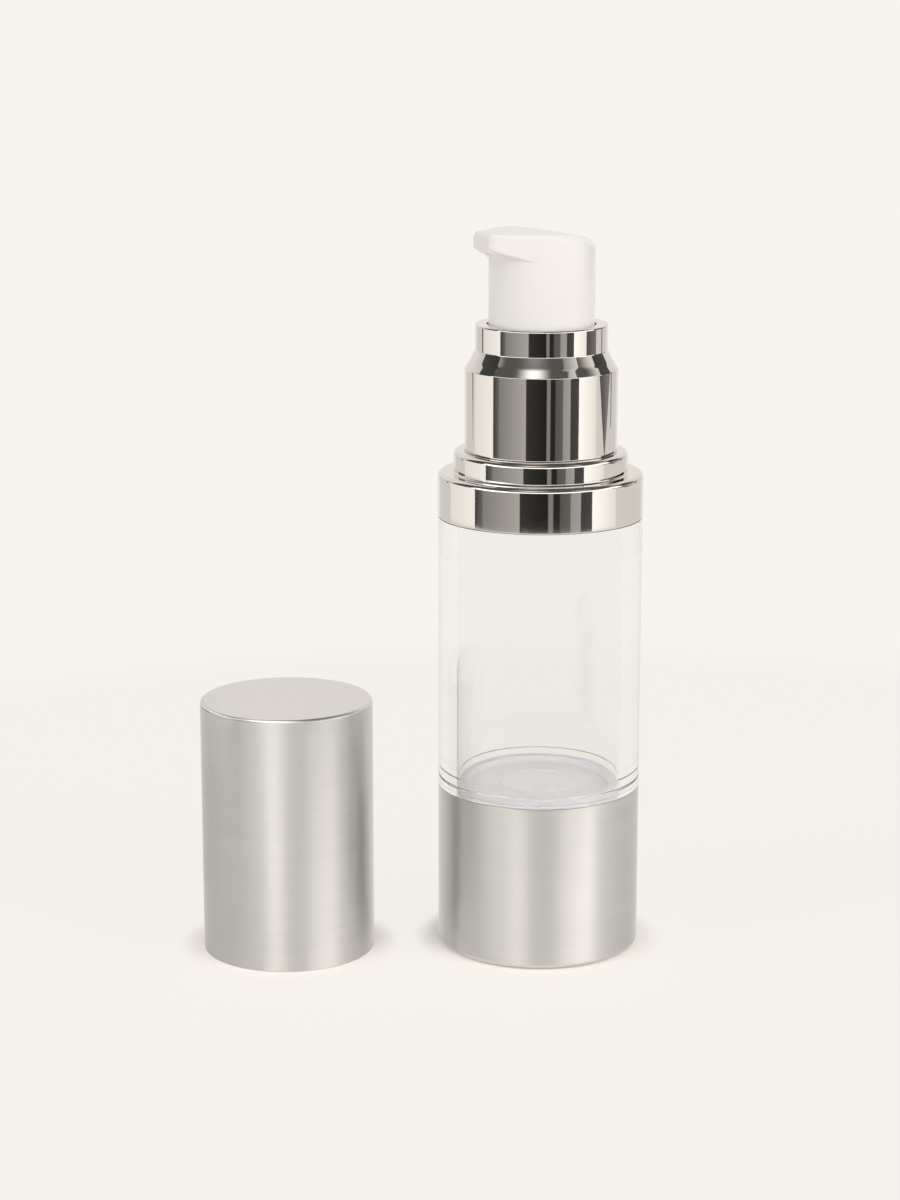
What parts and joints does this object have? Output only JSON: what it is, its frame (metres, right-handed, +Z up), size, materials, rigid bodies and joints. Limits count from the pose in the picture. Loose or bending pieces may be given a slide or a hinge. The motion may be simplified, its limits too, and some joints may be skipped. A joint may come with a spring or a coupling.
{
  "type": "airless pump bottle",
  "caption": "Clear cosmetic bottle with follower piston, beaked piston pump, bright stepped collar, brushed metal base and lift-off cap.",
  "frame": {"origin": "centre of the underside of the metal base, on the bottle's axis", "axes": "+Z up along the bottle's axis; the head's beak points along -X at rest; the cap stands beside the bottle on the same surface"},
  "size_m": [0.0728, 0.0499, 0.1249],
  "materials": {
    "brushed_aluminium": "drawn, brushed round the axis, clear anodised",
    "clear_san": "thick, clear, polished moulding",
    "bright_metallised_abs": "vacuum-metallised and lacquered, mirror bright",
    "natural_pe": "soft translucent moulding",
    "natural_pp": "as moulded",
    "white_pp": "as moulded",
    "white_gloss_pp": "satin gloss moulding",
    "soft_gasket": "soft",
    "stainless_steel": "bright drawn wire and polished ball"
  },
  "bodies": {
    "bottle": {"base_shell": "brushed_aluminium", "base_liner": "clear_san", "barrel": "clear_san", "shoulder_ring": "bright_metallised_abs"},
    "follower": {"follower_piston": "natural_pe"},
    "pump": {"pump_housing": "natural_pp", "guide_ring": "natural_pp", "neck_gasket": "soft_gasket"},
    "closure": {"closure": "white_pp", "pump_collar": "bright_metallised_abs"},
    "inlet_valve": {"inlet_ball": "stainless_steel"},
    "spring": {"return_spring": "stainless_steel"},
    "head": {"actuator": "white_gloss_pp", "actuator_lid": "white_gloss_pp", "stem": "natural_pp", "plunger": "natural_pp"},
    "seal": {"piston_seal": "natural_pe"},
    "cap": {"cap_shell": "brushed_aluminium", "cap_liner": "white_pp"}
  },
  "joints": [
    {"name": "follower_slide", "type": "slide", "parent": "bottle", "child": "follower", "axis": [0, 0, 1], "range_m": [0, 0.0489]},
    {"name": "pump_lift", "type": "slide", "parent": "bottle", "child": "pump", "axis": [0, 0, 1], "range_m": [0, 0.0046]},
    {"name": "closure_turn", "type": "hinge", "parent": "pump", "child": "closure", "pos_m": [0, 0, 0.09], "axis": [0, 0, 1], "range_deg": [0, 540]},
    {"name": "inlet_lift", "type": "slide", "parent": "pump", "child": "inlet_valve", "axis": [0, 0, 1], "range_m": [0, 0.001]},
    {"name": "head_turn", "type": "hinge", "parent": "pump", "child": "spring", "pos_m": [0, 0, 0.105], "axis": [0, 0, 1], "continuous": true},
    {"name": "head_press", "type": "slide", "parent": "spring", "child": "head", "axis": [0, 0, -1], "range_m": [0, 0.0045], "stiffness_N_per_m": 500, "springref_m": -0.006, "deforming": ["return_spring"]},
    {"name": "seal_slip", "type": "slide", "parent": "head", "child": "seal", "axis": [0, 0, 1], "range_m": [0, 0.0006]},
    {"name": "cap_lift", "type": "slide", "parent": "bottle", "child": "cap", "axis": [0, 0, 1], "range_m": [0, 0.05]}
  ],
  "couplings": [
    {"joint": "pump_lift", "follows": "closure_turn", "m_per_rad": 0.00047746}
  ]
}
